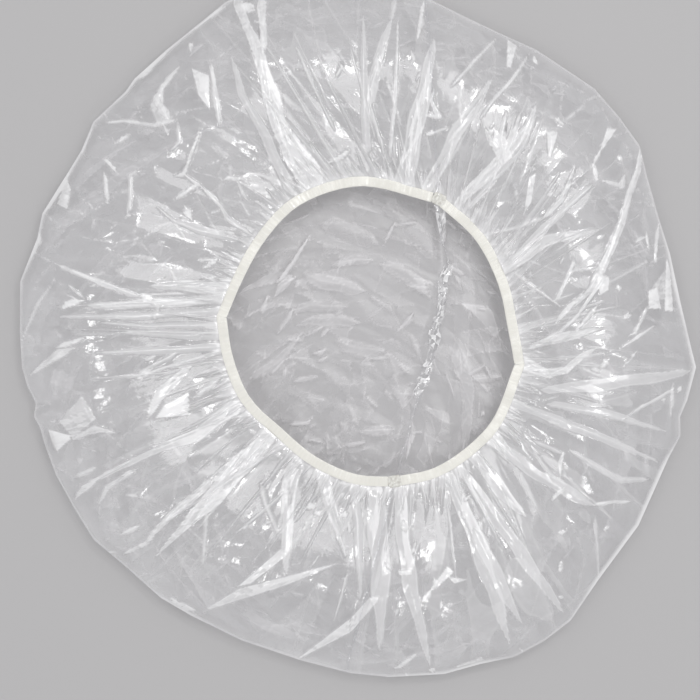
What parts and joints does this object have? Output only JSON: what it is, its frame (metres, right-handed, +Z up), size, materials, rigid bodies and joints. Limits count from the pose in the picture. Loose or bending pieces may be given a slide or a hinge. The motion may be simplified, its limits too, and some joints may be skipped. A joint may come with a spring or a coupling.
{
  "type": "shower cap",
  "caption": "Clear plastic film shower cap lying open on its crown, with a pleated skirt gathered on white elastic round the mouth and a weld seam over the crown.",
  "frame": {"origin": "on the table, under the middle of the cap's bounding box, as the cap lies on its crown", "axes": "+Z up out of the mouth, +X towards the right leaf, +Y towards the back join of the elastics"},
  "size_m": [0.3108, 0.3162, 0.0258],
  "materials": {
    "film": "clear thin polyethylene film, glossy and crinkled",
    "weld": "clear film melted into a narrow crinkled bead",
    "elastic": "off-white matt flat elastic"
  },
  "bodies": {
    "crown": {"left_panel": "film", "right_panel": "film", "crown_seam": "weld"},
    "mouth": {"back_side_weld": "weld", "front_side_weld": "weld"},
    "left_mouth": {"left_hem": "film", "left_elastic": "elastic"},
    "right_mouth": {"right_hem": "film", "right_elastic": "elastic"}
  },
  "joints": [
    {"name": "mouth_lift", "type": "slide", "parent": "crown", "child": "mouth", "axis": [0, 0, 1], "range_m": [0, 0.07], "deforming": ["left_panel", "right_panel", "crown_seam"]},
    {"name": "left_stretch", "type": "slide", "parent": "mouth", "child": "left_mouth", "axis": [-1, 0, 0], "range_m": [0, 0.045], "stiffness_N_per_m": 30, "deforming": ["left_elastic"]},
    {"name": "right_stretch", "type": "slide", "parent": "mouth", "child": "right_mouth", "axis": [1, 0, 0], "range_m": [0, 0.045], "stiffness_N_per_m": 30, "deforming": ["right_elastic"]}
  ],
  "couplings": [
    {"joint": "right_stretch", "follows": "left_stretch", "ratio": 1}
  ]
}
